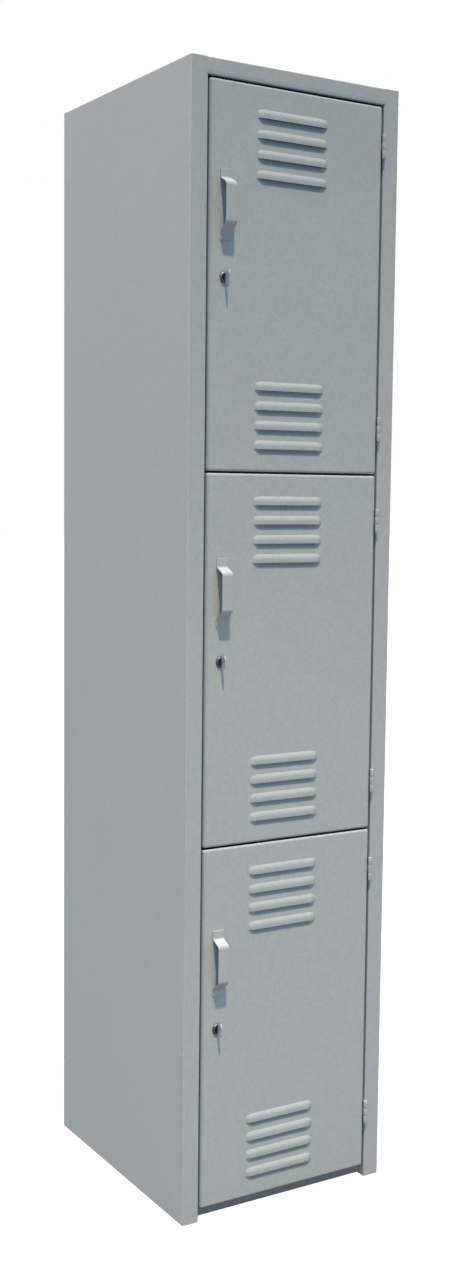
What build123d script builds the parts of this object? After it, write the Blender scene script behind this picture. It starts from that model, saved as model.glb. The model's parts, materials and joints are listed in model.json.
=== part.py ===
from build123d import *
import math
import os

# A three-tier steel locker: one narrow cabinet folded from sheet, with three doors of equal
# size, one above the other. Each door is a folded pan with two rows of pressed louvres, a
# strap handle, a cam lock with its key, and two small butt hinges on the right.
# Millimetres. X runs across the front, Y from the front to the back, and Z is up. The origin
# is on the floor, at the middle of the whole locker with its handles.

os.makedirs("parts", exist_ok=True)

# Cabinet
width = 380.0
depth = 450.0
height = 1800.0
sheet = 0.8
bend = 1.6
stile_face = 28.5
stile_return = 20.0
rear_flange = 18.0
rail_face = 25.5
rail_return = 14.0
tray_flange = 15.0
tray_lip = 20.0
tray_over_gap = 8.0
base_height = 20.0
base_clearance = 1.5
floor_over_door_edge = 7.0

# Doors
tiers = ["top", "middle", "bottom"]
gap = 3.0
door_sheet = 0.8
door_depth = 16.0
door_bend = 2.0
door_lip_ends = 5.0
door_lip = 11.0
door_stop = 0.5

# Pressed louvres
louvre_length = 128.0
louvre_rise = 13.5
louvre_proud = 4.0
louvre_top_run = 7.0
louvre_end_run = 11.0
louvre_pitch = 30.0
louvre_rows = 4
louvre_margin = 35.0
louvre_offset = -11.0

# Strap handle
handle_above_lock = 55.0
handle_length = 105.0
handle_width = 19.0
handle_strap = 2.0
handle_reach = 18.0
handle_top_foot = 14.0
handle_bottom_foot = 10.0
handle_shoulder = 9.0
handle_return = 15.0
handle_bend = 3.0
handle_inset = 28.5

# Cam lock
bezel_diameter = 19.0
bezel_proud = 3.0
bezel_edge = 1.0
barrel_diameter = 16.0
barrel_flats = 14.0
cam_behind_return = 1.0
plug_diameter = 12.0
running_fit = 0.05
fixing_fit = 0.1
nut_across_flats = 22.0
nut_height = 4.0
cam_thickness = 2.0
cam_width = 16.0
cam_past_return = 8.5
tang_size = 6.0
screw_diameter = 4.0
screw_length = 8.0
screw_head_diameter = 7.5
screw_head_height = 2.4

# Key
key_thickness = 2.0
key_slot_clearance = 0.15
blade_width = 7.0
blade_length = 17.0
bow_height = 16.0
bow_length = 13.5
bow_hole = 4.0
bow_stands_off = 0.6
key_cuts = [1.6, 1.0, 1.8, 1.2]
key_cut_pitch = 3.4

# Hinges
hinge_length = 38.0
hinge_leaf = 1.2
hinge_leaf_depth = 15.0
hinge_barrel = 6.5
hinge_pin = 4.0
hinge_stands_off = 0.35
knuckle_gap = 0.3
hinge_drop = [43.0, 54.0, 48.0]
hinge_rise = [53.0, 60.0, 76.0]

# Planes of the cabinet. The handle sets how far the locker reaches in front.
handle_proud = handle_reach + handle_strap
front = (handle_proud - depth) / 2
back = front + depth
left = -width / 2
right = width / 2
inner_left = left + sheet
inner_right = right - sheet
return_left = left + stile_face
return_right = right - stile_face
return_edge = front + stile_return

# Planes of the doors
door_left = return_left + gap
door_right = return_right - gap
door_width = door_right - door_left
door_centre = (door_left + door_right) / 2
door_back = front + door_depth
stop_plane = door_back + door_stop
door_height = (height - rail_face - base_height - gap * len(tiers)) / len(tiers)
door_tops = [height - rail_face - gap - tier * (door_height + gap) for tier in range(len(tiers))]

# Lock places: on the handle's centre line, half way up the door
lock_x = door_left + handle_inset
cam_front = return_edge + cam_behind_return
barrel_length = cam_front - front
tang_length = cam_thickness - fixing_fit

# Hinge axis: in the middle of the gap, in front of the stiles
axis_x = (door_right + return_right) / 2
axis_y = front - hinge_barrel / 2 - hinge_stands_off
knuckle = hinge_length / 3


def save(part, name):
    """Label a finished piece and write it as its own file."""
    part.label = name
    export_step(part, f"parts/{name}.step")


def folded(plane, corners, radius, thickness):
    """The section of a folded sheet: the outer line turns right at each corner."""
    with BuildSketch(plane) as section:
        with BuildLine():
            FilletPolyline(*corners, radius=radius)
            offset(amount=thickness, side=Side.RIGHT)
        make_face()
    return section.sketch


def block(low, high):
    """A square block between two opposite corners."""
    size = [b - a for a, b in zip(low, high)]
    return Pos(*low) * Box(*size, align=Align.MIN, mode=Mode.PRIVATE)


# Planes at the back and at the floor
tray_back = back - 2 * sheet
floor_top = base_height + floor_over_door_edge

# ---- Side panels: side, front stile with its return, and rear flange, folded from one sheet
stile_line = [
    (return_left, return_edge),
    (return_left, front),
    (left, front),
    (left, back),
    (left + rear_flange, back),
]
# The roof lies inside the side panel, and the rail runs on from the flat of its stile.
rail_bottom = height - rail_face
rail_left = return_left - bend
roof_space = block(
    (inner_left, front + sheet, height - sheet),
    (return_left + gap, tray_back, height + gap),
)
rail_space = block(
    (rail_left, front - gap, rail_bottom),
    (return_left + gap, return_edge + gap, height + gap),
)

with BuildPart() as left_side_panel:
    extrude(folded(Plane.XY, stile_line, bend, sheet), amount=height)
    add(roof_space, mode=Mode.SUBTRACT)
    add(rail_space, mode=Mode.SUBTRACT)
save(left_side_panel.part, "left_side_panel")

with BuildPart() as right_side_panel:
    mirror(left_side_panel.part, about=Plane.YZ)
save(right_side_panel.part, "right_side_panel")

# ---- Back panel: a flat sheet between the folds, welded on the inside of the rear flanges
back_panel_width = inner_right - inner_left - 2 * (bend - sheet)

with BuildPart() as back_panel:
    with BuildSketch(Plane.XZ.offset(-tray_back)):
        with Locations((0, (base_clearance + height) / 2)):
            Rectangle(back_panel_width, height - base_clearance)
    extrude(amount=-sheet)
save(back_panel.part, "back_panel")


def tray(top, front_left, front_line):
    """A shelf with flanges folded down behind and at both sides. Its front edge is folded as
    front_line says, as wide as front_left says on both sides, and the rest is wider."""
    long_line = front_line + [(tray_back, top), (tray_back, top - tray_flange)]
    side_line = [
        (inner_left, top - tray_flange),
        (inner_left, top),
        (inner_right, top),
        (inner_right, top - tray_flange),
    ]
    side_start = return_edge + bend
    with BuildPart() as body:
        extrude(
            folded(Plane.YZ.offset(front_left), long_line, bend, sheet),
            amount=-2 * front_left,
        )
        extrude(
            folded(Plane.XZ.offset(-side_start), side_line, bend, sheet),
            amount=side_start + bend - tray_back,
        )
    return body.part


# ---- Shelves and bottom panel: the floor of each compartment. Each shelf's lip stands behind
# the gap between two doors, and the bottom panel's lip behind the lower edge of the last one.
shelf_tops = [door_tops[tier] + gap / 2 + tray_over_gap for tier in (1, 2)]
floor_edges = [
    ("upper_shelf", shelf_tops[0], shelf_tops[0] - tray_lip),
    ("lower_shelf", shelf_tops[1], shelf_tops[1] - tray_lip),
    ("bottom_panel", floor_top, base_clearance),
]

for name, top, lip_bottom in floor_edges:
    with BuildPart() as floor:
        add(tray(top, return_left, [(stop_plane, lip_bottom), (stop_plane, top)]))
    save(floor.part, name)

# ---- Top panel: the roof, with the top rail and its return folded from the same sheet. Its
# two front corners reach to the side panels.
rail_line = [(front + rail_return, rail_bottom), (front, rail_bottom), (front, height)]

with BuildPart() as top_panel:
    add(tray(height, rail_left, rail_line))
    for low_x, high_x in ((inner_left, rail_left), (-rail_left, inner_right)):
        add(
            block(
                (low_x, front + sheet, height - sheet),
                (high_x, return_edge + 2 * bend, height),
            )
        )
save(top_panel.part, "top_panel")


# ---- Louvres: one press tool for all. A flat crown falls to the sheet in a round fold along the
# top and at both ends, and the lower edge is sheared open.
def louvre_form(inset):
    """The louvre's outer form at inset 0, or the hollow inside it, one sheet's thickness in. It
    is the part that an outline seen from above and one seen from the side have in common."""

    def fold_reach(run):
        radius = (louvre_proud**2 + run**2) / (2 * louvre_proud)
        return math.sqrt((radius - inset) ** 2 - (radius - louvre_proud - inset) ** 2)

    crown = inset - louvre_proud
    crown_end = louvre_length / 2 - louvre_end_run
    form_end = crown_end + fold_reach(louvre_end_run)
    crown_top = louvre_rise - louvre_top_run
    form_top = crown_top + fold_reach(louvre_top_run)
    with BuildPart() as form:
        with BuildSketch():
            with BuildLine():
                Line((-crown_end, crown), (crown_end, crown))
                TangentArc((crown_end, crown), (form_end, inset), tangent=(1, 0))
                Line((form_end, inset), (-form_end, inset))
                TangentArc((-crown_end, crown), (-form_end, inset), tangent=(-1, 0))
            make_face()
        extrude(amount=louvre_rise)
        with BuildSketch(Plane.YZ):
            with BuildLine():
                Line((crown, 0), (crown, crown_top))
                TangentArc((crown, crown_top), (inset, form_top), tangent=(0, 1))
                Polyline((inset, form_top), (inset, 0), (crown, 0))
            make_face()
        extrude(amount=louvre_length, both=True, mode=Mode.INTERSECT)
    return form.part


louvre_outside = louvre_form(0)
louvre_inside = louvre_form(door_sheet)


def louvre_places(door_top):
    """The middle of each louvre's lower edge: one group near the top, one near the bottom."""
    first = door_top - louvre_margin - louvre_rise
    last = door_top - door_height + louvre_margin
    group = range(louvre_rows)
    heights = [first - row * louvre_pitch for row in group]
    heights += [last + row * louvre_pitch for row in group]
    return [(door_centre + louvre_offset, front, z) for z in heights]


# ---- Doors: a pan with round folds, a lip along both sides, and a flatted hole for the lock
def lock_plane(tier, depth_in):
    """The plane across the lock's axis at a depth behind the door's face. It faces inwards."""
    middle = door_tops[tier] - door_height / 2
    return Plane((lock_x, front + depth_in, middle), x_dir=(-1, 0, 0), z_dir=(0, 1, 0))


def barrel_section(clearance):
    """The barrel's round section with its two flats, which keep it from turning."""
    with BuildSketch() as section:
        Circle(barrel_diameter / 2 + clearance)
        Rectangle(
            barrel_flats + 2 * clearance,
            barrel_diameter + 2 * clearance,
            mode=Mode.INTERSECT,
        )
    return section.sketch


for tier, name in enumerate(tiers):
    door_top = door_tops[tier]
    middle = door_top - door_height / 2
    door_face = Plane.XZ.offset(-front).shift_origin((0, front, middle))
    with BuildPart() as door:
        with BuildSketch(door_face):
            with Locations((door_centre, 0)):
                Rectangle(door_width, door_height)
        extrude(amount=-door_depth)
        fillet(door.faces().sort_by(Axis.Y)[0].edges(), door_bend)
        offset(amount=-door_sheet, openings=door.faces().sort_by(Axis.Y)[-1])
        with BuildSketch(Plane.XZ.offset(-door_back)):
            for edge in (door_left + door_lip / 2, door_right - door_lip / 2):
                with Locations((edge, middle)):
                    Rectangle(door_lip, door_height - 2 * door_lip_ends)
        extrude(amount=door_sheet)
        with Locations(*louvre_places(door_top)):
            add(louvre_outside)
            add(louvre_inside, mode=Mode.SUBTRACT)
        with BuildSketch(lock_plane(tier, 0)):
            add(barrel_section(fixing_fit))
        extrude(amount=door_sheet, mode=Mode.SUBTRACT)
    save(door.part, f"{name}_door")


# ---- Handles: a flat strap with a foot at each end, welded to the door
for tier, name in enumerate(tiers):
    lower = door_tops[tier] - door_height / 2 + handle_above_lock
    upper = lower + handle_length
    strap_back = [
        (front, upper),
        (front, upper - handle_top_foot),
        (front - handle_reach, upper - handle_top_foot - handle_shoulder),
        (front - handle_reach, lower + handle_bottom_foot + handle_return),
        (front, lower + handle_bottom_foot),
        (front, lower),
    ]
    handle_side = Plane.YZ.offset(lock_x - handle_width / 2)
    with BuildPart() as handle:
        extrude(folded(handle_side, strap_back, handle_bend, handle_strap), amount=handle_width)
    save(handle.part, f"{name}_handle")


# ---- Hinges: two on each door, a leaf welded to the stile return and one to the door's edge
def hinge_places(tier):
    """The height of the lower end of each of the door's two hinges."""
    door_top = door_tops[tier]
    return [
        door_top - hinge_drop[tier] - hinge_length,
        door_top - door_height + hinge_rise[tier],
    ]


def hinge_leaf_body(bottom, side_x, away, knuckles):
    """One leaf with its rolled knuckles. It lies against the plane at side_x, on the side that
    away says, and knuckles gives the lower and upper end of each, above the hinge's end."""
    leaf_x = side_x + away * hinge_leaf / 2
    plate_front = axis_y + hinge_barrel / 2 + knuckle_gap
    plate_back = front + hinge_leaf_depth
    with BuildPart() as leaf:
        with BuildSketch(Plane.XY.offset(bottom)):
            with Locations((leaf_x, (plate_front + plate_back) / 2)):
                Rectangle(hinge_leaf, plate_back - plate_front)
        extrude(amount=hinge_length)
        for start, end in knuckles:
            with BuildSketch(Plane.XY.offset(bottom + start)):
                with Locations((axis_x, axis_y)):
                    Circle(hinge_barrel / 2)
                with Locations((leaf_x, (axis_y + plate_front) / 2)):
                    Rectangle(hinge_leaf, plate_front - axis_y)
                with Locations((axis_x, axis_y)):
                    Circle(hinge_pin / 2 + running_fit, mode=Mode.SUBTRACT)
            extrude(amount=end - start)
    return leaf.part


outer_knuckles = [(0, knuckle - knuckle_gap / 2), (2 * knuckle + knuckle_gap / 2, hinge_length)]
middle_knuckle = [(knuckle + knuckle_gap / 2, 2 * knuckle - knuckle_gap / 2)]

for tier, name in enumerate(tiers):
    with BuildPart() as frame_leaves:
        for bottom in hinge_places(tier):
            add(hinge_leaf_body(bottom, return_right, -1, outer_knuckles))
    save(frame_leaves.part, f"{name}_hinge_frame_leaves")

    with BuildPart() as door_leaves:
        for bottom in hinge_places(tier):
            add(hinge_leaf_body(bottom, door_right, 1, middle_knuckle))
    save(door_leaves.part, f"{name}_hinge_door_leaves")

    with BuildPart() as hinge_pins:
        for bottom in hinge_places(tier):
            with BuildSketch(Plane.XY.offset(bottom)):
                with Locations((axis_x, axis_y)):
                    Circle(hinge_pin / 2)
            extrude(amount=hinge_length)
    save(hinge_pins.part, f"{name}_hinge_pins")


# ---- Cam locks
plug_bore = plug_diameter / 2 + running_fit
plug_front = -bezel_proud
slot_width = key_thickness + 2 * key_slot_clearance
slot_height = blade_width + 2 * key_slot_clearance
screw_end = barrel_length + cam_thickness - screw_length
cam_reach = lock_x - return_left + cam_past_return

for tier, name in enumerate(tiers):
    # Housing: bezel in front of the door, flatted barrel behind it
    with BuildPart() as housing:
        with BuildSketch(lock_plane(tier, -bezel_proud)):
            Circle(bezel_diameter / 2)
        extrude(amount=bezel_proud)
        chamfer(housing.faces().sort_by(Axis.Y)[0].edges(), bezel_edge)
        with BuildSketch(lock_plane(tier, 0)):
            add(barrel_section(0))
        extrude(amount=barrel_length)
        with BuildSketch(lock_plane(tier, plug_front)):
            Circle(plug_bore)
        extrude(amount=barrel_length - plug_front, mode=Mode.SUBTRACT)
    save(housing.part, f"{name}_lock_housing")

    # Nut: clamps the door sheet against the bezel
    with BuildPart() as nut:
        with BuildSketch(lock_plane(tier, door_sheet)):
            RegularPolygon(nut_across_flats / 2, 6, major_radius=False)
            Circle(barrel_diameter / 2 + fixing_fit, mode=Mode.SUBTRACT)
        extrude(amount=nut_height)
    save(nut.part, f"{name}_lock_nut")

    # Plug: a round body with the key slot, and a square tang with a screw hole
    with BuildPart() as plug:
        with BuildSketch(lock_plane(tier, plug_front)):
            Circle(plug_diameter / 2)
        extrude(amount=barrel_length - plug_front)
        with BuildSketch(lock_plane(tier, barrel_length)):
            Rectangle(tang_size, tang_size)
        extrude(amount=tang_length)
        with BuildSketch(lock_plane(tier, plug_front)):
            Rectangle(slot_width, slot_height)
        extrude(amount=blade_length + key_slot_clearance, mode=Mode.SUBTRACT)
        with BuildSketch(lock_plane(tier, screw_end - fixing_fit)):
            Circle(screw_diameter / 2 + fixing_fit)
        extrude(amount=screw_length + fixing_fit, mode=Mode.SUBTRACT)
    save(plug.part, f"{name}_lock_plug")

    # Cam: a flat finger that hangs when the door is free, and turns to lie behind the stile
    with BuildPart() as cam:
        with BuildSketch(lock_plane(tier, barrel_length)) as cam_outline:
            with Locations((0, (cam_width / 2 - cam_reach) / 2)):
                Rectangle(cam_width, cam_reach + cam_width / 2)
            chamfer(cam_outline.vertices(), cam_width / 4)
            Rectangle(tang_size + 2 * fixing_fit, tang_size + 2 * fixing_fit, mode=Mode.SUBTRACT)
        extrude(amount=cam_thickness)
    save(cam.part, f"{name}_lock_cam")

    # Screw: holds the cam on the tang
    with BuildPart() as screw:
        with BuildSketch(lock_plane(tier, barrel_length + cam_thickness)):
            Circle(screw_head_diameter / 2)
        extrude(amount=screw_head_height)
        with BuildSketch(lock_plane(tier, screw_end)):
            Circle(screw_diameter / 2)
        extrude(amount=screw_length)
    save(screw.part, f"{name}_cam_screw")

    # Key: a flat blade with its bitting, and a round bow with a hole
    middle = door_tops[tier] - door_height / 2
    face = front - bezel_proud
    bow_centre = face - bow_stands_off - bow_length / 2
    blade_tip = face + blade_length - 2 * key_slot_clearance
    with BuildPart() as key:
        with BuildSketch(Plane.YZ.offset(lock_x - key_thickness / 2)):
            with Locations((bow_centre, middle)):
                RectangleRounded(bow_length, bow_height, bow_length / 2.5)
            with Locations(((bow_centre + blade_tip) / 2, middle)):
                Rectangle(blade_tip - bow_centre, blade_width)
            with Locations((bow_centre - bow_length / 5, middle)):
                Circle(bow_hole / 2, mode=Mode.SUBTRACT)
            for notch, cut in enumerate(key_cuts):
                with Locations((face + (notch + 1) * key_cut_pitch, middle - blade_width / 2)):
                    Polygon((-cut, 0), (cut, 0), (0, cut), align=None, mode=Mode.SUBTRACT)
        extrude(amount=key_thickness)
    save(key.part, f"{name}_key")
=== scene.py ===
# %% [markdown]
# # A three-tier steel locker
# The locker is folded from thin sheet, sprayed light grey and baked. Its cabinet and shelves, and
# the nuts, cams and screws behind its locks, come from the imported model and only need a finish.
# What catches the light close up is modelled here again with soft edges: the louvred doors, the
# strap handles, the bezels and plugs of the locks, the keys, and the hinges with their pins.

import json
import math

import bmesh
import bpy
from mathutils import Matrix, Vector


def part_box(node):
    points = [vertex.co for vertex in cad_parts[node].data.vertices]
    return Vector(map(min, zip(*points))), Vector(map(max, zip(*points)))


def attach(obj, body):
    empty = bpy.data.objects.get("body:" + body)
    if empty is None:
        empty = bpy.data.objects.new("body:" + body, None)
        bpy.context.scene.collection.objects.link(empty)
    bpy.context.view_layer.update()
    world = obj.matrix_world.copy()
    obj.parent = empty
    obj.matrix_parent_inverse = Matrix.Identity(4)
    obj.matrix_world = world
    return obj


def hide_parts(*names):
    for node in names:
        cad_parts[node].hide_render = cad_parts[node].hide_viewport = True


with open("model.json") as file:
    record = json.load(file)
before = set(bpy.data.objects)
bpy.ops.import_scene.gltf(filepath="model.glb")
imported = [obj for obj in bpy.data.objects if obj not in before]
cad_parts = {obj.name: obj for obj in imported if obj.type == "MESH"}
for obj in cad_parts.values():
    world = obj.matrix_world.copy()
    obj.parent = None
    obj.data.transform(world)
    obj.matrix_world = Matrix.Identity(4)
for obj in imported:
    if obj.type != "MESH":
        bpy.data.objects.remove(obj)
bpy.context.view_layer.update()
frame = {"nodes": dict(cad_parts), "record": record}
tiers = ["top", "middle", "bottom"]
millimetre = 0.001
touching = 1e-6


# %% [markdown]
# ## Camera
# The locker is tall and narrow and is seen from its left front corner, from chest height. A
# lens a little shorter than normal gives its verticals their mild spread. The turn is written
# as three angles in the order in which a tripod head is set: pan, tilt, roll.

# %% Camera
lens = 43.083
sensor_width = 36.0
camera_place = Vector((-1.3175, -2.2507, 1.1640))
pan, tilt, roll = math.radians(-32.213), math.radians(-5.464), math.radians(-0.767)
camera_shift = (-0.0317, -0.0038)

camera_data = bpy.data.cameras.new("camera")
camera_data.lens = lens
camera_data.sensor_width = sensor_width
camera_data.shift_x, camera_data.shift_y = camera_shift
camera = bpy.data.objects.new("camera", camera_data)
bpy.context.scene.collection.objects.link(camera)
level_camera = Matrix.Rotation(math.radians(90), 4, "X")
pan_and_tilt = Matrix.Rotation(pan, 4, "Z") @ Matrix.Rotation(tilt, 4, "X")
head_turn = pan_and_tilt @ Matrix.Rotation(roll, 4, "Y")
camera.matrix_world = Matrix.Translation(camera_place) @ head_turn @ level_camera
bpy.context.scene.camera = camera
print("camera stands", round(camera_place.xy.length, 2), "m away")


# %% [markdown]
# ## Floor and light
# The locker stands in the sun, cut out on plain white. Only the camera sees the white. Shaded
# places get a blue sky. A mirror sees a bright sky above and behind and dark surroundings in
# front, and that is what darkens the plated ring of a lock. The sun is high in front, a little
# to the left, and draws the crisp shadows under the louvres and handles. Two lamps behind fill
# the sides and the back, and the cabinet itself keeps them off the doors. A soft panel low in
# front stands for the light thrown back by the ground.

# %% Node helper
def link(tree, source, target):
    """Joins two sockets of a node tree."""
    tree.links.new(source, target)


# %% World
world = bpy.data.worlds.new("studio")
bpy.context.scene.world = world
world.use_nodes = True
sky = world.node_tree
sky.nodes.clear()
direction = sky.nodes.new("ShaderNodeTexCoord")
split = sky.nodes.new("ShaderNodeSeparateXYZ")
link(sky, direction.outputs["Generated"], split.inputs[0])
full_climb = 0.9


def background(colour, strength, overhead=0.0, behind=0.0):
    """One background of the world, with so much more strength towards the top and the back."""
    node = sky.nodes.new("ShaderNodeBackground")
    node.inputs["Color"].default_value = (*colour, 1.0)
    node.inputs["Strength"].default_value = strength
    if overhead or behind:
        total = sky.nodes.new("ShaderNodeMath")
        climbs = [("Z", strength, overhead), ("Y", 0.0, behind)]
        for socket, (axis, least, more) in zip(total.inputs, climbs):
            climb = sky.nodes.new("ShaderNodeMapRange")
            climb.inputs["From Max"].default_value = full_climb
            climb.inputs["To Min"].default_value = least
            climb.inputs["To Max"].default_value = least + more
            link(sky, split.outputs[axis], climb.inputs["Value"])
            link(sky, climb.outputs["Result"], socket)
        link(sky, total.outputs[0], node.inputs["Strength"])
    return node


shade_sky = background((0.25, 0.59, 1.0), 0.0, overhead=1.62)
white_surround = background((1.0, 1.0, 1.0), 1.0)
mirrored_sky = background((0.85, 0.93, 1.0), 0.05, overhead=1.0, behind=0.55)
rays = sky.nodes.new("ShaderNodeLightPath")
mirror_choice = sky.nodes.new("ShaderNodeMixShader")
white_choice = sky.nodes.new("ShaderNodeMixShader")
sky_output = sky.nodes.new("ShaderNodeOutputWorld")
link(sky, rays.outputs["Is Glossy Ray"], mirror_choice.inputs["Fac"])
link(sky, shade_sky.outputs[0], mirror_choice.inputs[1])
link(sky, mirrored_sky.outputs[0], mirror_choice.inputs[2])
link(sky, rays.outputs["Is Camera Ray"], white_choice.inputs["Fac"])
link(sky, mirror_choice.outputs[0], white_choice.inputs[1])
link(sky, white_surround.outputs[0], white_choice.inputs[2])
link(sky, white_choice.outputs[0], sky_output.inputs["Surface"])
bpy.context.scene.view_settings.view_transform = "Standard"
print("the sky is white to the camera, blue in the shade, and dark in front in a mirror")


# %% Floor
floor_half = 30.0
floor_colour = (0.12, 0.15, 0.19)
floor_paint = bpy.data.materials.new("white_floor")
floor_paint.use_nodes = True
floor_tree = floor_paint.node_tree
floor_tree.nodes.clear()
floor_diffuse = floor_tree.nodes.new("ShaderNodeBsdfDiffuse")
floor_diffuse.inputs["Color"].default_value = (*floor_colour, 1.0)
floor_lift = floor_tree.nodes.new("ShaderNodeEmission")
floor_lift.inputs["Color"].default_value = (1.0, 1.0, 1.0, 1.0)
floor_rays = floor_tree.nodes.new("ShaderNodeLightPath")
floor_sum = floor_tree.nodes.new("ShaderNodeAddShader")
floor_output = floor_tree.nodes.new("ShaderNodeOutputMaterial")
link(floor_tree, floor_rays.outputs["Is Camera Ray"], floor_lift.inputs["Strength"])
link(floor_tree, floor_diffuse.outputs[0], floor_sum.inputs[0])
link(floor_tree, floor_lift.outputs[0], floor_sum.inputs[1])
link(floor_tree, floor_sum.outputs[0], floor_output.inputs["Surface"])

floor_mesh = bpy.data.meshes.new("floor")
floor_shape = bmesh.new()
bmesh.ops.create_grid(floor_shape, x_segments=1, y_segments=1, size=floor_half)
floor_shape.to_mesh(floor_mesh)
floor_shape.free()
floor_mesh.materials.append(floor_paint)
floor = bpy.data.objects.new("floor", floor_mesh)
bpy.context.scene.collection.objects.link(floor)
print("floor reaches", floor_half, "m each way")


# %% Lamps
def aim(lamp, along):
    """Turns a lamp so that its light travels along a direction."""
    lamp.rotation_mode = "QUATERNION"
    lamp.rotation_quaternion = Vector(along).to_track_quat("-Z", "Y")


def add_sun(name, energy, spread_degrees, colour, along):
    """A far lamp, whose shadows are as soft as it is wide."""
    data = bpy.data.lights.new(name, "SUN")
    data.energy = energy
    data.angle = math.radians(spread_degrees)
    data.color = colour
    lamp = bpy.data.objects.new(name, data)
    bpy.context.scene.collection.objects.link(lamp)
    aim(lamp, along)


def add_panel(name, power, width, height, colour, place, target):
    """A flat lamp of a given width and height, in metres."""
    data = bpy.data.lights.new(name, "AREA")
    data.shape = "RECTANGLE"
    data.size, data.size_y = width, height
    data.energy = power
    data.color = colour
    lamp = bpy.data.objects.new(name, data)
    bpy.context.scene.collection.objects.link(lamp)
    lamp.location = place
    lamp.visible_glossy = False
    aim(lamp, Vector(target) - Vector(place))


sun_colour = (1.0, 0.80, 0.58)
fill_colour = (1.0, 0.79, 0.52)
ground_colour = (1.0, 0.85, 0.62)
panel_place = (-0.35, -1.9, 0.55)
panel_target = (0.0, -0.2, 0.5)
add_sun("key", 4.2, 2.0, sun_colour, (0.34, 1.0, -2.45))
add_sun("side_fill", 1.8, 15.0, fill_colour, (1.0, -0.45, -0.30))
add_sun("back_fill", 1.3, 15.0, fill_colour, (-1.0, -0.6, -0.35))
add_panel("front_soft", 10.3, 1.2, 0.9, ground_colour, panel_place, panel_target)
print("three suns and one panel placed")


# %% [markdown]
# ## Finishes
# Baked enamel on sheet steel isn't one flat grey. It has a fine orange peel, slow random patches
# of tone, a fine mottle, tiny specks, and some dust on whatever faces up. The finish also paints
# in light: its tone is painted lighter lower down and darker towards the top, as painted light and
# painted shade, and the pale dust on what faces up doubles as a painted highlight.
# All of it is worked out from the piece's own coordinates, so that it stays on the piece when a
# door swings. A painted picture would do it too, but it would have to be unwrapped and it would
# blur close up.

# %% Shared parts of a finish
def start_material(name):
    """A new material with its shader and its own coordinates."""
    material = bpy.data.materials.new(name)
    material.use_nodes = True
    tree = material.node_tree
    shader = tree.nodes["Principled BSDF"]
    place = tree.nodes.new("ShaderNodeTexCoord")
    return material, tree, shader, place.outputs["Object"]


def noise(tree, place, scale, detail=2.0, roughness=0.5):
    """The value of a noise with so many features to the metre."""
    node = tree.nodes.new("ShaderNodeTexNoise")
    node.inputs["Scale"].default_value = scale
    node.inputs["Detail"].default_value = detail
    node.inputs["Roughness"].default_value = roughness
    link(tree, place, node.inputs["Vector"])
    return node.outputs["Fac"]


def spread(tree, value, low, high, from_low=0.3, from_high=0.7):
    """Maps a noise value to a range."""
    node = tree.nodes.new("ShaderNodeMapRange")
    node.inputs["From Min"].default_value = from_low
    node.inputs["From Max"].default_value = from_high
    node.inputs["To Min"].default_value = low
    node.inputs["To Max"].default_value = high
    link(tree, value, node.inputs["Value"])
    return node.outputs["Result"]


def blend_colours(tree, factor, first, second):
    """A colour between two others, as the factor says."""
    node = tree.nodes.new("ShaderNodeMix")
    node.data_type = "RGBA"
    for socket, colour in ((node.inputs["A"], first), (node.inputs["B"], second)):
        if isinstance(colour, tuple):
            socket.default_value = (*colour, 1.0)
        else:
            link(tree, colour, socket)
    link(tree, factor, node.inputs["Factor"])
    return node.outputs["Result"]


def bump(tree, shader, height, distance, strength=1.0):
    """Raises a height on the shader's normal."""
    node = tree.nodes.new("ShaderNodeBump")
    node.inputs["Distance"].default_value = distance
    node.inputs["Strength"].default_value = strength
    link(tree, height, node.inputs["Height"])
    link(tree, node.outputs["Normal"], shader.inputs["Normal"])


# %% [markdown]
# The seams around the doors, the lip under the bottom door and the rail's lower edge are darkened
# towards blue-black as painted shade, and a band under each louvre is a painted shadow. The doors'
# left folds are also darker towards their edges. In the finish, a seam is a place between the
# doors' planes and the stiles, a little behind the front. A few comparisons of coordinates find
# it, which no noise alone could do.

# %% Sizes of the doors and their louvres
front_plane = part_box("left_side_panel")[0].y
doors_left, doors_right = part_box("top_door")[0].x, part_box("top_door")[1].x
doors_top, doors_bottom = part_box("top_door")[1].z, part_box("bottom_door")[0].z
door_height = doors_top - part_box("top_door")[0].z
door_pitch = doors_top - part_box("middle_door")[1].z
louvre_length = 128.0 * millimetre
louvre_rise = 13.5 * millimetre
louvre_pitch = 30.0 * millimetre
louvre_rows = 4
louvre_margin = 35.0 * millimetre
louvre_offset = -11.0 * millimetre
print("doors are", round(door_height, 4), "m high, one every", round(door_pitch, 4), "m")


# %% Comparisons
def compare(tree, kind, first, second):
    """One arithmetic node between two sockets or numbers."""
    node = tree.nodes.new("ShaderNodeMath")
    node.operation = kind
    for socket, value in zip(node.inputs, (first, second)):
        if isinstance(value, float):
            socket.default_value = value
        else:
            link(tree, value, socket)
    return node.outputs[0]


def coordinates(tree, place, middle=0.0):
    """The distance from a middle plane, the depth and the height of a point."""
    parts = tree.nodes.new("ShaderNodeSeparateXYZ")
    link(tree, place, parts.inputs[0])
    beside = compare(tree, "ABSOLUTE", compare(tree, "SUBTRACT", parts.outputs["X"], middle), 0.0)
    return beside, parts.outputs["Y"], parts.outputs["Z"]


def between(tree, value, low, high):
    """1 where the value is between two numbers, and 0 elsewhere."""
    above = compare(tree, "GREATER_THAN", value, low)
    below = compare(tree, "LESS_THAN", value, high)
    return compare(tree, "MULTIPLY", above, below)


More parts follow.
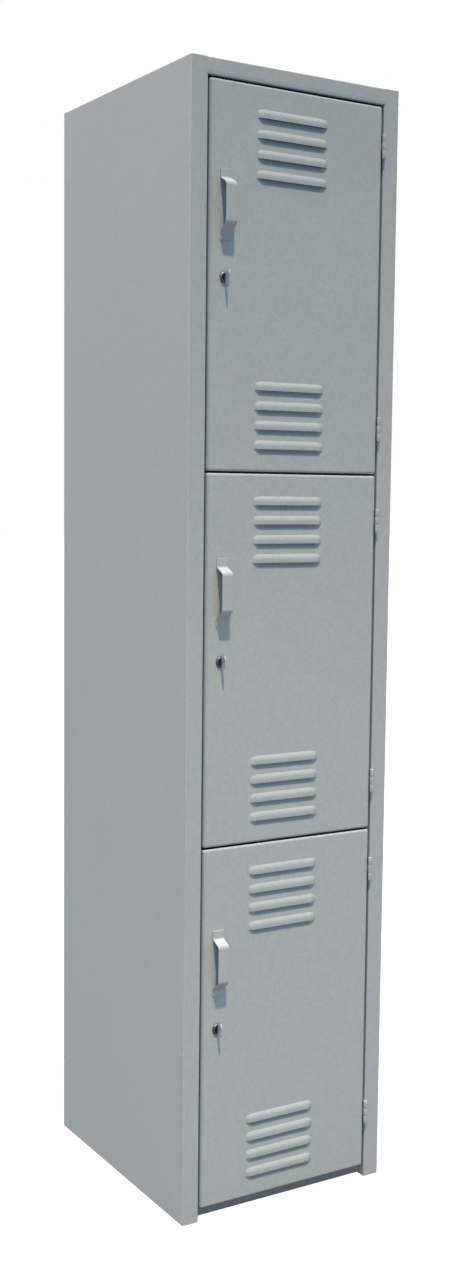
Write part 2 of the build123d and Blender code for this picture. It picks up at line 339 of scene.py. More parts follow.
# %% Painted shade on the cabinet
seam_start = front_plane + 1.4 * millimetre
seam_full = front_plane + 3.4 * millimetre
seam_end = front_plane + 20.0 * millimetre
seam_gone = front_plane + 30.0 * millimetre
seam_side = doors_right + 5.0 * millimetre
lip_edges = (doors_bottom - millimetre, doors_bottom)
stile_edges = (doors_right - millimetre, doors_right + 1.5 * millimetre)
rail_edge = doors_top + 4.0 * millimetre
rail_clean = doors_top + 11.0 * millimetre
rail_top = doors_top + 100.0 * millimetre
lip_painted_shade = 0.5
stile_painted_shade = 0.15
rail_painted_shade = 0.35


def cabinet_painted_shade(tree, place):
    """Painted shade: 1 on the lips behind the doors' gaps, less on the stile returns and the
    rail's lower edge, and 0 elsewhere.
    """
    beside, depth, height = coordinates(tree, place)
    inside = compare(tree, "LESS_THAN", beside, seam_side)
    past_lip = spread(tree, height, lip_painted_shade, 1.0, *lip_edges)
    below_rail = compare(tree, "LESS_THAN", height, rail_edge)
    beside_doors = compare(tree, "MULTIPLY", past_lip, below_rail)
    on_stiles = spread(tree, beside, 1.0, stile_painted_shade, *stile_edges)
    beside_doors = compare(tree, "MULTIPLY", beside_doors, on_stiles)
    deeper = spread(tree, depth, 0.0, 1.0, seam_start, seam_full)
    fading = spread(tree, depth, 1.0, 0.0, seam_end, seam_gone)
    both = compare(tree, "MULTIPLY", deeper, fading)
    seam = compare(tree, "MULTIPLY", both, compare(tree, "MULTIPLY", inside, beside_doors))
    rail = compare(tree, "MULTIPLY", inside, between(tree, height, doors_top, rail_top))
    thinner = spread(tree, height, rail_painted_shade, 0.0, rail_edge, rail_clean)
    return compare(tree, "MAXIMUM", seam, compare(tree, "MULTIPLY", rail, thinner))


# This reports from what depth the seams get their painted shade.
print("seams are dirty from", round(1000 * (seam_start - front_plane), 1), "mm behind the front")


# %% Painted shade on the doors
# The rims in the gaps get painted shade, and the band under each louvre gets a painted shadow.
louvre_painted_shadow = 0.5
painted_shadow_fades = (4.0 * millimetre, 10.0 * millimetre)
painted_shadow_ends = (louvre_length / 2 - 14.0 * millimetre, louvre_length / 2 - 2.0 * millimetre)
side_rim_painted_shade = 0.75
left_fold_darkening = 0.45
left_fold_reach = 5.5 * millimetre
skin = 0.3 * millimetre


def under_louvres(tree, beside, within):
    """Painted shadow that fades downwards from each louvre's lower edge, and towards its ends."""
    rows = louvre_rows * louvre_pitch
    first_lips = (louvre_margin + louvre_rise, door_height - louvre_margin - rows + louvre_pitch)
    groups = []
    for first in first_lips:
        after_first = compare(tree, "SUBTRACT", within, first)
        below_lip = compare(tree, "MODULO", after_first, louvre_pitch)
        thinner = spread(tree, below_lip, louvre_painted_shadow, 0.0, *painted_shadow_fades)
        groups.append(compare(tree, "MULTIPLY", thinner, between(tree, after_first, 0.0, rows)))
    along = spread(tree, beside, 1.0, 0.0, *painted_shadow_ends)
    return compare(tree, "MULTIPLY", along, compare(tree, "MAXIMUM", *groups))


def door_painted_shade(tree, place):
    """Painted shade, 1 on the ends of the doors' folded rims and less on their sides, painted
    shadow under the louvres, a darker left fold, and 0 elsewhere.
    """
    beside, depth, height = coordinates(tree, place)
    from_top = compare(tree, "SUBTRACT", doors_top, height)
    within = compare(tree, "MODULO", compare(tree, "ADD", from_top, door_pitch), door_pitch)
    side_rim = compare(tree, "GREATER_THAN", beside, doors_right - skin)
    side_rim = compare(tree, "MULTIPLY", side_rim_painted_shade, side_rim)
    lower_rim = compare(tree, "GREATER_THAN", within, door_height - skin)
    upper_rim = compare(tree, "LESS_THAN", within, skin)
    rim = compare(tree, "MAXIMUM", side_rim, compare(tree, "MAXIMUM", lower_rim, upper_rim))
    deeper = spread(tree, depth, 0.0, 1.0, seam_start, seam_full)
    on_rim = compare(tree, "MULTIPLY", rim, deeper)
    on_front = compare(tree, "LESS_THAN", depth, front_plane + skin)
    beside_louvres = coordinates(tree, place, louvre_offset)[0]
    on_front = compare(tree, "MULTIPLY", on_front, under_louvres(tree, beside_louvres, within))
    # The tone darkens towards each door's left fold.
    from_left = coordinates(tree, place, doors_left)[0]
    on_fold = spread(tree, from_left, left_fold_darkening, 0.0, 0.5 * millimetre, left_fold_reach)
    return compare(tree, "MAXIMUM", compare(tree, "MAXIMUM", on_rim, on_front), on_fold)


# This reports how far the darkening along a door's left fold reaches.
print("hands leave dirt up to", round(1000 * left_fold_reach, 1), "mm from a door's left fold")


# %% Baked enamel
# The pale grey of specks of dust. It is also laid on faces that look up, where it is dust and a
# painted highlight at once.
dust_and_highlight = (0.54, 0.55, 0.54)
# The blue-black that seams, rims and lips are painted towards, as painted shade and painted
# shadow.
painted_shade_blue = (0.070, 0.115, 0.185)
enamel_grey = (0.345, 0.375, 0.370)
# Between these heights the tone is painted lighter lower down and darker towards the top: painted
# light and painted shade.
painted_light_full_below, painted_shade_full_above = 0.75, 1.75
highlight_dust_starts, highlight_dust_full = 0.58, 0.93
per_metre = {"wide": 2.3, "sheen": 9, "mottle": 170, "speck": 620, "orange_peel": 750}
painted_light_range, tone_wide, tone_mottle = (0.6, 0.0), (-0.1, 0.2), (-0.4, 0.6)
speck_strength, speck_edges = (0.0, 0.22), (0.55, 0.80)
satin = (0.34, 0.46)
peel_height = 0.06 * millimetre


def baked_enamel(name, colour, drift, seam, dust_and_highlight_amount):
    """Light grey enamel with painted light lower down and painted shade towards the top, its tone
    also varying at random in small and large patches.
    """
    material, tree, shader, place = start_material(name)
    light = tuple(channel * (1 + drift) for channel in colour)
    dark = tuple(channel * (1 - drift) for channel in colour)
    # Painted light and shade: the tone gets lighter lower down and darker towards the top.
    painted_light_lower_down = spread(tree, coordinates(tree, place)[2], *painted_light_range, painted_light_full_below, painted_shade_full_above)
    wide = spread(tree, noise(tree, place, per_metre["wide"]), *tone_wide)
    mottle = spread(tree, noise(tree, place, per_metre["mottle"], 3.0), *tone_mottle)
    patches = compare(tree, "ADD", painted_light_lower_down, compare(tree, "ADD", wide, mottle))
    tone = blend_colours(tree, patches, dark, light)
    fine = noise(tree, place, per_metre["speck"], 1.0)
    speckled = blend_colours(tree, spread(tree, fine, *speck_strength, *speck_edges), tone, dust_and_highlight)
    # Faces that look up get pale dust, which also paints a highlight on the tops of folds,
    # louvres, handles and hinges.
    facing = tree.nodes.new("ShaderNodeSeparateXYZ")
    link(tree, place.node.outputs["Normal"], facing.inputs[0])
    settled_dust_and_highlight = spread(tree, facing.outputs["Z"], 0.0, dust_and_highlight_amount, highlight_dust_starts, highlight_dust_full)
    dusted_and_highlit = blend_colours(tree, settled_dust_and_highlight, speckled, dust_and_highlight)
    # Painted shade and painted shadow: seams, rims, lips, the rail's edge and the bands under the
    # louvres turn towards blue-black, and the left folds darken.
    with_painted_shade = blend_colours(tree, seam(tree, place), dusted_and_highlit, painted_shade_blue)
    link(tree, with_painted_shade, shader.inputs["Base Color"])
    sheen = spread(tree, noise(tree, place, per_metre["sheen"], 3.0), *satin)
    link(tree, sheen, shader.inputs["Roughness"])
    shader.inputs["Specular IOR Level"].default_value = 0.45
    orange_peel = noise(tree, place, per_metre["orange_peel"], 1.5)
    bump(tree, shader, orange_peel, peel_height, strength=0.6)
    return material


# The doors get more of the pale dust on what faces up, which brightens the tops of their folds and
# louvres as a painted highlight.
cabinet_enamel = baked_enamel("cabinet_enamel", enamel_grey, 0.045, cabinet_painted_shade, 0.35)
door_enamel = baked_enamel("door_enamel", enamel_grey, 0.055, door_painted_shade, 1.0)
print("enamel mixed for the cabinet and, with more dust, for the doors")


# %% [markdown]
# The lock's ring is a zinc casting with bright plating, which is never a perfect mirror, and
# its plug is darker. The cam, nut and screw are dull zinc-plated steel. The key is nickel with
# a matt film, brushed by its ring and by pockets.

# %% Plated metals
dulling = 0.78
smears_per_metre = 160
grain_height = 0.02 * millimetre


def plated_metal(name, colour, low_roughness, high_roughness, grain, bare=1.0):
    """A metal whose sheen changes with a fine grain and smears. Less bare, it has a matt film."""
    material, tree, shader, place = start_material(name)
    shader.inputs["Metallic"].default_value = bare
    dull = tuple(channel * dulling for channel in colour)
    patches = spread(tree, noise(tree, place, smears_per_metre, 3.0), 0, 1)
    link(tree, blend_colours(tree, patches, dull, colour), shader.inputs["Base Color"])
    sheen = spread(tree, noise(tree, place, grain, 4.0), low_roughness, high_roughness)
    link(tree, sheen, shader.inputs["Roughness"])
    bump(tree, shader, noise(tree, place, grain * 2, 2.0), grain_height, strength=0.5)
    return material


bright_plating = plated_metal("bright_plating", (0.22, 0.235, 0.265), 0.42, 0.54, 700)
dark_plating = plated_metal("dark_plating", (0.07, 0.075, 0.085), 0.14, 0.28, 700)
dull_zinc = plated_metal("dull_zinc", (0.50, 0.51, 0.52), 0.34, 0.55, 900)
worn_nickel = plated_metal("worn_nickel", (0.66, 0.68, 0.71), 0.26, 0.40, 1400, bare=0.45)
finishes = {
    "cabinet_enamel": cabinet_enamel,
    "door_enamel": door_enamel,
    "lock_chrome": bright_plating,
    "zinc_steel": dull_zinc,
    "key_nickel": worn_nickel,
}
print("finishes:", *finishes)


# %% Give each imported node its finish
for subpart in frame["record"]["subparts"]:
    node = frame["nodes"][subpart["node"]]
    node.data.materials.clear()
    node.data.materials.append(finishes[subpart["material_slot"]])
print("finished", len(frame["nodes"]), "packed nodes")


# %% [markdown]
# ## Turning a bmesh into a piece
# Every new piece ends the same way: its mesh is written in place, curved faces are shaded smooth
# while real corners stay sharp, it gets the finish of its material slot, it is tied to the body
# that it moves with, and the node it stands for is hidden.

# %% Piece helper
smooth_below = math.radians(34)
soften_above = math.radians(50)


def make_piece(shape, name, body, slot, *stands_for):
    """Writes a bmesh as a finished piece on its body."""
    mesh = bpy.data.meshes.new(name)
    shape.to_mesh(mesh)
    shape.free()
    mesh.shade_smooth()
    mesh.set_sharp_from_angle(angle=smooth_below)
    mesh.materials.append(finishes[slot])
    piece = bpy.data.objects.new(name, mesh)
    bpy.context.scene.collection.objects.link(piece)
    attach(piece, body)
    if stands_for:
        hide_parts(*stands_for)
    return piece


def soften_edges(piece, width, segments=2):
    """Rounds a piece's sharp edges."""
    soft = piece.modifiers.new("soft_edges", "BEVEL")
    soft.width = width
    soft.segments = segments
    soft.limit_method = "ANGLE"
    soft.angle_limit = soften_above


def weigh_normals(piece):
    """Keeps large flat faces flat in shading beside their rounded edges."""
    weighted = piece.modifiers.new("flat_faces", "WEIGHTED_NORMAL")
    weighted.keep_sharp = True
    weighted.weight = 100


# %% [markdown]
# ## Doors
# A locker door is a shallow pan folded from one sheet, with the louvres pressed out of it by a
# tool that shears their lower edge and stretches the metal over a rounded form. A boolean
# would cut the slots but leave sharp steps. Here the blank is a box without its back, cut into
# a fine grid only where the louvres are. The cut line under each louvre is opened, and then
# each point of the grid is pushed out by as much as the press would move it.

# %% Blank of a door pan
sheet = 0.8 * millimetre
fold_radius = 4.1 * millimetre
fold_steps = 6
side_lip = 11.0 * millimetre
lip_end_gap = 5.0 * millimetre
squarely = 0.99


def whole(shape):
    """All of a bmesh, for the operators that want it as one list."""
    return shape.verts[:] + shape.edges[:] + shape.faces[:]


def points_of(made):
    """The vertices among what an operator made."""
    return [item for item in made if isinstance(item, bmesh.types.BMVert)]


def pan_blank(low, high):
    """A box with no back, its folds rounded and a lip turned in along both sides."""
    shape = bmesh.new()
    centre = (low + high) / 2
    bmesh.ops.create_cube(shape, size=1.0, matrix=Matrix.LocRotScale(centre, None, high - low))
    back_faces = [face for face in shape.faces if face.normal.y > squarely]
    bmesh.ops.delete(shape, geom=back_faces, context="FACES_ONLY")
    back_sides = [
        edge for edge in shape.edges
        if edge.is_boundary and abs(edge.verts[0].co.x - edge.verts[1].co.x) < touching
    ]
    folds = [edge for edge in shape.edges if not edge.is_boundary]
    lips = bmesh.ops.extrude_edge_only(shape, edges=back_sides)["geom"]
    for point in points_of(lips):
        point.co.x -= math.copysign(side_lip, point.co.x - centre.x)
        point.co.z -= math.copysign(lip_end_gap, point.co.z - centre.z)
    bmesh.ops.bevel(
        shape, geom=folds, offset=fold_radius, offset_type="OFFSET", affect="EDGES",
        segments=fold_steps, profile=0.5, material=-1,
    )
    return shape


print("a door is folded over a radius of", round(1000 * fold_radius, 1), "mm")


# %% Press for the louvres
louvre_proud = 3.5 * millimetre
louvre_slope = 0.04
louvre_top_run = 7.6 * millimetre
louvre_end_run = 11.0 * millimetre
steps_along = 8
steps_up = 7


def louvre_lips(low, high):
    """The heights of the louvres' lower edges: one group near the top, one near the bottom."""
    first = high.z - louvre_margin - louvre_rise
    last = low.z + louvre_margin
    rows = range(louvre_rows)
    upper = [first - row * louvre_pitch for row in rows]
    lower = [last + row * louvre_pitch for row in rows]
    return upper + lower


def press_depth(along, up):
    """How far the press moves a point at a distance along from the middle and up from the lip."""
    from_top = min(max((louvre_rise - up) / louvre_top_run, 0.0), 1.0)
    from_end = min(max((louvre_length / 2 - along) / louvre_end_run, 0.0), 1.0)
    away = min(math.hypot(1 - from_top, 1 - from_end), 1.0)
    return (louvre_proud - louvre_slope * up) * (1 - away**2)


def cut_lines(shape, places, normal):
    """Cuts the whole sheet across at each place along the normal."""
    for place in places:
        bmesh.ops.bisect_plane(
            shape, geom=whole(shape), dist=touching, plane_co=normal * place, plane_no=normal,
        )


def open_slots(shape, centre_x, lips):
    """Opens the cut line under each louvre."""
    reach = louvre_length / 2 + 10 * touching
    slots = [
        edge for edge in shape.edges
        if all(abs(point.co.y - front_plane) < touching for point in edge.verts)
        and all(abs(point.co.x - centre_x) < reach for point in edge.verts)
        and any(all(abs(point.co.z - lip) < touching for point in edge.verts) for lip in lips)
    ]
    bmesh.ops.split_edges(shape, edges=slots)


def press_louvres(shape, centre_x, lips):
    """Pushes out the sheet above each slot."""
    for point in shape.verts:
        if abs(point.co.y - front_plane) > touching:
            continue
        middle_of_faces = sum(face.calc_center_median().z for face in point.link_faces)
        middle_of_faces /= len(point.link_faces)
        for lip in lips:
            up = point.co.z - lip
            below_slot = abs(up) < touching and middle_of_faces < lip
            if -touching < up < louvre_rise and not below_slot:
                point.co.y -= press_depth(abs(point.co.x - centre_x), up)


print("a louvre stands", round(1000 * press_depth(0.0, 0.0), 1), "mm proud at its lip")


# %% Hole for the lock
hole_radius = 8.1 * millimetre
hole_sides = 8
hole_room = 1.5 * hole_radius
near_hole = 1.4 * hole_room


def front_faces(shape, middle, reach):
    """The faces of the door's front whose centres are within reach of a point."""
    return [
        face for face in shape.faces
        if abs(face.normal.y) > squarely and (face.calc_center_median() - middle).length < reach
    ]


def cut_lock_hole(shape, middle):
    """Cuts an eight-sided hole through the front, hidden by the bezel and the nut."""
    cut_lines(shape, [middle.x - hole_room, middle.x + hole_room], Vector((1, 0, 0)))
    cut_lines(shape, [middle.z - hole_room, middle.z + hole_room], Vector((0, 0, 1)))
    for side in range(hole_sides):
        angle = side * math.tau / hole_sides
        outward = Vector((math.cos(angle), 0, math.sin(angle)))
        near = front_faces(shape, middle, near_hole)
        local = dict.fromkeys(near)
        for face in near:
            local.update(dict.fromkeys([*face.edges, *face.verts]))
        bmesh.ops.bisect_plane(
            shape, geom=list(local), dist=touching / 10,
            plane_co=middle + outward * hole_radius, plane_no=outward,
        )
    inside = front_faces(shape, middle, hole_radius)
    bmesh.ops.delete(shape, geom=inside, context="FACES")


print("the lock's hole is", round(2000 * hole_radius, 1), "mm across its flats")


# %% Make the doors
for tier in tiers:
    low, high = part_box(f"{tier}_door")
    low.y = front_plane
    lips = louvre_lips(low, high)
    centre_x = (low.x + high.x) / 2 + louvre_offset
    half = louvre_length / 2
    columns = [half - step * louvre_end_run / steps_along for step in range(steps_along + 1)]
    rows = [louvre_rise - step * louvre_top_run / steps_up for step in range(steps_up + 1)] + [0.0]
    across = [centre_x + side * x for side in (-1, 1) for x in columns]
    upwards = [lip + row for lip in lips for row in rows]
    door_shape = pan_blank(low, high)
    cut_lines(door_shape, across, Vector((1, 0, 0)))
    cut_lines(door_shape, upwards, Vector((0, 0, 1)))
    lock_low, lock_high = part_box(f"{tier}_lock_housing")
    lock_middle = (lock_low + lock_high) / 2
    lock_middle.y = front_plane
    cut_lock_hole(door_shape, lock_middle)
    open_slots(door_shape, centre_x, lips)
    press_louvres(door_shape, centre_x, lips)
    door = make_piece(
        door_shape, f"{tier}_door_pan", f"{tier}_door_body", "door_enamel", f"{tier}_door"
    )
    thickness = door.modifiers.new("sheet", "SOLIDIFY")
    thickness.thickness = sheet
    thickness.offset = -1.0
    thickness.use_even_offset = True
    weigh_normals(door)
    print(door.name, len(door.data.polygons), "faces before its thickness")


# %% [markdown]
# ## Handles
# Each handle is a strap of flat bar with a foot at both ends, bent four times and spot-welded
# to the door. A box could be bent in steps, but its thickness would change at each bend. Here
# the side view of the bar is a chain of edges. Its corners are rounded, it is swept across the
# bar's width, and then it gets an even thickness and softened edges.

# %% Chains of edges
def chain(shape, points, closed=True):
    """Joins points by edges in turn, and back to the first one if the chain is closed."""
    made = [shape.verts.new(point) for point in points]
    following = made[1:] + made[:1] if closed else made[1:]
    return [shape.edges.new(pair) for pair in zip(made, following)]


def push(shape, made, along):
    """Moves the points among what an operator made."""
    bmesh.ops.translate(shape, vec=Vector(along), verts=points_of(made))


# %% Shape of a strap
strap = 2.0 * millimetre
top_foot = 14.0 * millimetre
bottom_foot = 10.0 * millimetre
shoulder = 9.0 * millimetre
return_leg = 15.0 * millimetre
bend_radius = 3.0 * millimetre
bend_steps = 5
edge_softness = 0.45 * millimetre


def strap_shape(low, high):
    """The bar's back face, bent and as wide as the bar."""
    side_view = [
        (high.y, high.z),
        (high.y, high.z - top_foot),
        (low.y + strap, high.z - top_foot - shoulder),
        (low.y + strap, low.z + bottom_foot + return_leg),
        (high.y, low.z + bottom_foot),
        (high.y, low.z),
    ]
    shape = bmesh.new()
    chain(shape, [(low.x, y, z) for y, z in side_view], closed=False)
    bends = [point for point in shape.verts if len(point.link_edges) == 2]
    bmesh.ops.bevel(
        shape, geom=bends, offset=bend_radius, offset_type="OFFSET", affect="VERTICES",
        segments=bend_steps, profile=0.5, material=-1,
    )
    swept = bmesh.ops.extrude_edge_only(shape, edges=shape.edges[:])["geom"]
    push(shape, swept, (high.x - low.x, 0, 0))
    bmesh.ops.recalc_face_normals(shape, faces=shape.faces[:])
    if sum(face.normal.y * face.calc_area() for face in shape.faces) > 0:
        bmesh.ops.reverse_faces(shape, faces=shape.faces[:])
    return shape


print("straps are", round(1000 * strap, 1), "mm thick")


# %% Make the handles
for tier in tiers:
    low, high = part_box(f"{tier}_handle")
    handle = make_piece(
        strap_shape(low, high), f"{tier}_strap_handle", f"{tier}_door_body", "door_enamel",
        f"{tier}_handle",
    )
    thickness = handle.modifiers.new("bar", "SOLIDIFY")
    thickness.thickness = strap
    thickness.offset = 1.0
    thickness.use_even_offset = True
    soften_edges(handle, edge_softness, 3)
    weigh_normals(handle)
print("handles made")


# %% [markdown]
# ## Lock bezels
# The lock's front is a turned ring with a rounded shoulder, and its barrel goes back through the
# door. A bevelled cylinder would need a second one cut out of it. A half section spun about the
# lock's axis makes ring, barrel and bore in one go, as a lathe does.

# %% Lathe
def close_ends(shape):
    """Fills each open loop of a shape with one face, and turns all its faces outwards."""
    open_edges = [edge for edge in shape.edges if edge.is_boundary]
    bmesh.ops.holes_fill(shape, edges=open_edges, sides=0)
    bmesh.ops.recalc_face_normals(shape, faces=shape.faces[:])


def turn_on_lathe(shape, half_section, centre, axis, steps):
    """Spins a chain of edges about an axis, and closes the ends of what it makes."""
    points = dict.fromkeys(point for edge in half_section for point in edge.verts)
    bmesh.ops.spin(
        shape, geom=[*points, *half_section], cent=centre, axis=axis, angle=math.tau,
        steps=steps, use_merge=True,
    )
    bmesh.ops.remove_doubles(shape, verts=shape.verts[:], dist=touching)
    close_ends(shape)


# %% Make the bezels
bezel_radius = 8.95 * millimetre
bezel_round = 2.0 * millimetre
bore_radius = 6.05 * millimetre
barrel_radius = 7.9 * millimetre
turn_steps = 48
shoulder_steps = 6
quarter = math.radians(90)
shoulder_angles = [quarter * step / shoulder_steps for step in range(shoulder_steps + 1)]
for tier in tiers:
    low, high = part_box(f"{tier}_lock_housing")
    middle = (low + high) / 2
    rounding = [
        (
            bezel_radius - bezel_round * (1 - math.sin(angle)),
            low.y + bezel_round * (1 - math.cos(angle)),
        )
        for angle in shoulder_angles
    ]
    outline = [(bore_radius, low.y), *rounding, (bezel_radius, front_plane)]
    outline += [(barrel_radius, front_plane), (barrel_radius, high.y), (bore_radius, high.y)]
    shape = bmesh.new()
    half_section = chain(shape, [(middle.x + r, y, middle.z) for r, y in outline])
    turn_on_lathe(shape, half_section, middle, (0, 1, 0), turn_steps)
    make_piece(
        shape, f"{tier}_bezel", f"{tier}_door_body", "lock_chrome", f"{tier}_lock_housing",
    )
print("bezels made")


# %% [markdown]
# ## Plugs and keys
# The plug's face has a soft rim around a deep key slot. The key's bow is a flat blank with a
# punched hole. A boolean would cut both holes, but leave long thin faces that take a bevel
# badly. Instead, an outer and an inner loop of as many points are bridged, which keeps the faces
# quads, and extruded. The key's blade is a plain bar with its bitting cut in steps.

# %% Loops with a hole between them
halvings = 30


def circle_loop(radius, count, centre=(0.0, 0.0)):
    """Points on a circle, from straight up and onwards."""
    turns = [math.tau * step / count for step in range(count)]
    return [(centre[0] + radius * math.sin(t), centre[1] + radius * math.cos(t)) for t in turns]


def square_loop(half_wide, half_high, corner, count, centre=(0.0, 0.0)):
    """Points on a rectangle with round corners, each in the direction of a circle's point."""
    loop = []
    for along, up in circle_loop(1.0, count):
        low, high = 0.0, half_wide + half_high
        for _ in range(halvings):
            reach = (low + high) / 2
            over_x = max(abs(along) * reach - half_wide + corner, 0.0)
            over_z = max(abs(up) * reach - half_high + corner, 0.0)
            if math.hypot(over_x, over_z) < corner:
                low = reach
            else:
                high = reach
        loop.append((centre[0] + along * low, centre[1] + up * low))
    return loop


# %% Shape of a plug
plug_radius = 6.0 * millimetre
slot_wide = 1.15 * millimetre
slot_high = 3.65 * millimetre
slot_deep = 17.15 * millimetre
slot_corner = 0.3 * millimetre
tang_half = 3.0 * millimetre
plug_length = 24.0 * millimetre
plug_steps = 48
plug_softness = 0.3 * millimetre


def plug_shape(middle, face_y, back_y):
    """A round plug with a key slot in its face and a square tang behind."""
    shape = bmesh.new()
    slot = square_loop(slot_wide, slot_high, slot_corner, plug_steps)
    rim = circle_loop(plug_radius, plug_steps)
    edges = [
        chain(shape, [(middle.x + x, face_y, middle.z + z) for x, z in loop])
        for loop in (slot, rim)
    ]
    bmesh.ops.bridge_loops(shape, edges=edges[0] + edges[1])
    for loop, depth in zip(edges, (slot_deep, plug_length)):
        push(shape, bmesh.ops.extrude_edge_only(shape, edges=loop)["geom"], (0, depth, 0))
    rim_end = face_y + plug_length
    tang_low = Vector((middle.x - tang_half, rim_end - millimetre, middle.z - tang_half))
    tang_high = Vector((middle.x + tang_half, back_y, middle.z + tang_half))
    tang = Matrix.LocRotScale((tang_low + tang_high) / 2, None, tang_high - tang_low)
    bmesh.ops.create_cube(shape, size=1.0, matrix=tang)
    close_ends(shape)
    return shape


print("a key slot is", round(2000 * slot_high, 1), "mm high")


# %% Make the plugs
for tier in tiers:
    low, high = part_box(f"{tier}_lock_plug")
    plug = make_piece(
        plug_shape((low + high) / 2, low.y, high.y), f"{tier}_plug", f"{tier}_plug_body",
        "lock_chrome", f"{tier}_lock_plug",
    )
    plug.data.materials[0] = dark_plating
    soften_edges(plug, plug_softness)
    weigh_normals(plug)
print("plugs made")


# %% Shape of a key
bow_high = 22.0 * millimetre
bow_long = 12.0 * millimetre
bow_corner = 5.9 * millimetre
bow_hole = 1.7 * millimetre
bow_clear = 0.6 * millimetre
blade_high = 7.0 * millimetre
cuts = [1.6, 1.0, 1.8, 1.2]
cut_pitch = 3.4 * millimetre
tip_slant = 2.0 * millimetre
key_steps = 32
key_softness = 0.3 * millimetre


def on_side(points, x):
    """Points of a side view, placed at x."""
    return [(x, y, z) for y, z in points]


def key_shape(low, high, face_y):
    """A flat bow with a hole, and a blade with its bitting."""
    shape = bmesh.new()
    middle_z = (low.z + high.z) / 2
    bow_y = face_y - bow_clear - bow_long / 2
    hole_y = bow_y - bow_long / 5
    rim = square_loop(bow_long / 2, bow_high / 2, bow_corner, key_steps, (bow_y, middle_z))
    hole = circle_loop(bow_hole, key_steps, (hole_y, middle_z))
    edges = [edge for loop in (rim, hole) for edge in chain(shape, on_side(loop, low.x))]
    bow = bmesh.ops.bridge_loops(shape, edges=edges)["faces"]

    start, tip = bow_y + bow_long / 2 - millimetre, high.y
    top, bottom = middle_z + blade_high / 2, middle_z - blade_high / 2
    outline = [(start, top), (tip - tip_slant, top), (tip, middle_z), (tip - tip_slant, bottom)]
    for number in reversed(range(len(cuts))):
        centre = face_y + (number + 1) * cut_pitch
        cut = cuts[number] * millimetre
        outline += [(centre + cut, bottom), (centre, bottom + cut), (centre - cut, bottom)]
    outline.append((start, bottom))
    blade = shape.faces.new([shape.verts.new(point) for point in on_side(outline, low.x)])
    pushed = bmesh.ops.extrude_face_region(shape, geom=[*bow, blade])["geom"]
    push(shape, pushed, (high.x - low.x, 0, 0))
    bmesh.ops.recalc_face_normals(shape, faces=shape.faces[:])
    return shape


print("a key's blade has", len(cuts), "cuts")


# %% Make the keys
for tier in tiers:
    low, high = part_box(f"{tier}_key")
    face_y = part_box(f"{tier}_lock_plug")[0].y
    key = make_piece(
        key_shape(low, high, face_y), f"{tier}_flat_key", f"{tier}_key_body", "key_nickel",
        f"{tier}_key",
    )
    soften_edges(key, key_softness)
    weigh_normals(key)
print("keys made")


# %% [markdown]
# ## Hinges
# Two small butt hinges hang each door. Their leaves hide in the gap, and the barrel stands in
# front of it, painted over with the rest. Each barrel has three rolled knuckles and a pin with
# domed ends. Rolling a leaf round would show only at its hidden end, so cylinders and plates
# with softened edges stand for it. The outer knuckles stay with the cabinet, and the middle one
# turns with the door.

# %% Knuckles and leaves
hinge_length = 38.0 * millimetre
knuckle_gap = 0.12 * millimetre
barrel = 6.5 * millimetre
barrel_steps = 28
leaf = 1.2 * millimetre
leaf_from_axis = 1.5 * millimetre
leaf_softness = 0.2 * millimetre
knuckle_edge = 0.1 * millimetre


def add_knuckle(shape, axis, bottom, top):
    """One rolled knuckle, with its ends softened."""
    place = Matrix.Translation(Vector((axis.x, axis.y, (bottom + top) / 2)))
    made = bmesh.ops.create_cone(
        shape, cap_ends=True, segments=barrel_steps, radius1=barrel / 2, radius2=barrel / 2,
        depth=top - bottom, matrix=place,
    )
    around = dict.fromkeys(edge for point in made["verts"] for edge in point.link_edges)
    rims = [edge for edge in around if abs(edge.verts[0].co.z - edge.verts[1].co.z) < touching]
    bmesh.ops.bevel(
        shape, geom=rims, offset=knuckle_edge, offset_type="OFFSET", affect="EDGES",
        segments=2, profile=0.5, material=-1,
    )


def add_plate(shape, low, high):
    """One leaf, a thin plate with its outer edges softened."""
    place = Matrix.LocRotScale((low + high) / 2, None, high - low)
    made = bmesh.ops.create_cube(shape, size=1.0, matrix=place)
    rims = dict.fromkeys(edge for point in made["verts"] for edge in point.link_edges)
    bmesh.ops.bevel(
        shape, geom=list(rims), offset=leaf_softness, offset_type="OFFSET", affect="EDGES",
        segments=1, profile=0.5, material=-1,
    )


print("a hinge barrel is", round(1000 * barrel, 1), "mm across")


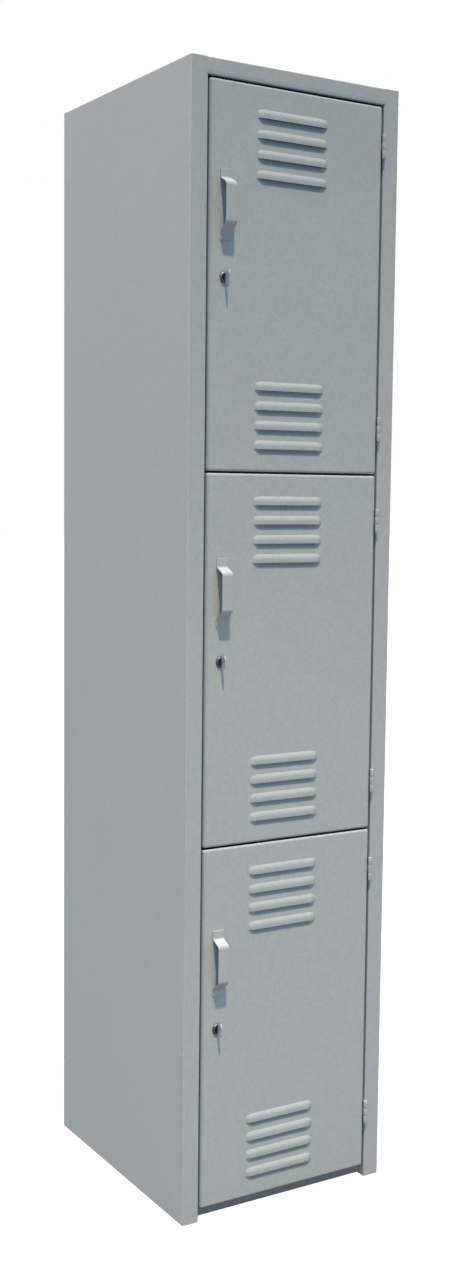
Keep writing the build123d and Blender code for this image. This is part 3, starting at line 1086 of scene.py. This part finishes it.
# %% Make the hinges
third = hinge_length / 3
outer = [(0, third - knuckle_gap / 2), (2 * third + knuckle_gap / 2, hinge_length)]
inner = [(third + knuckle_gap / 2, 2 * third - knuckle_gap / 2)]
for tier in tiers:
    pin_low, pin_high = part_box(f"{tier}_hinge_pins")
    axis = (pin_low + pin_high) / 2
    bottoms = [pin_low.z, pin_high.z - hinge_length]
    for kind, knuckles, body in (
        ("frame", outer, "cabinet"), ("door", inner, f"{tier}_door_body"),
    ):
        leaf_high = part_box(f"{tier}_hinge_{kind}_leaves")[1]
        shape = bmesh.new()
        side = 1 if kind == "frame" else -1
        faces_x = sorted((axis.x + side * leaf_from_axis, axis.x + side * (leaf_from_axis - leaf)))
        for bottom in bottoms:
            for start, end in knuckles:
                add_knuckle(shape, axis, bottom + start, bottom + end)
            plate_low = Vector((faces_x[0], axis.y, bottom + knuckles[0][0]))
            plate_high = Vector((faces_x[1], leaf_high.y, bottom + knuckles[-1][1]))
            if kind == "frame":
                plate_low.y = axis.y + barrel / 2 + knuckle_gap
            add_plate(shape, plate_low, plate_high)
        make_piece(
            shape, f"{tier}_{kind}_hinge", body, "door_enamel", f"{tier}_hinge_{kind}_leaves"
        )
print("hinges made")


# %% Shape of a pin
pin_radius = 2.0 * millimetre
pin_head = 2.7 * millimetre
pin_dome = 1.0 * millimetre
pin_steps = 20
dome_steps = 5


def add_pin(shape, axis, bottom, top):
    """A pin with a low round head at both ends."""
    angles = [quarter * step / dome_steps for step in range(dome_steps)]
    dome = [(pin_head * math.cos(angle), pin_dome * math.sin(angle)) for angle in angles]
    outline = [(r, bottom - away) for r, away in reversed(dome)]
    outline += [(pin_radius, bottom), (pin_radius, top)]
    outline += [(r, top + away) for r, away in dome]
    half_section = chain(shape, [(axis.x, axis.y + r, z) for r, z in outline], closed=False)
    turn_on_lathe(shape, half_section, axis, (0, 0, 1), pin_steps)


print("a pin's head is", round(2000 * pin_head, 1), "mm across")


# %% Make the hinge pins
for tier in tiers:
    pin_low, pin_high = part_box(f"{tier}_hinge_pins")
    axis = (pin_low + pin_high) / 2
    shape = bmesh.new()
    for bottom in (pin_low.z, pin_high.z - hinge_length):
        add_pin(shape, axis, bottom, bottom + hinge_length)
    make_piece(shape, f"{tier}_pins", "cabinet", "cabinet_enamel", f"{tier}_hinge_pins")
print("hinge pins made")
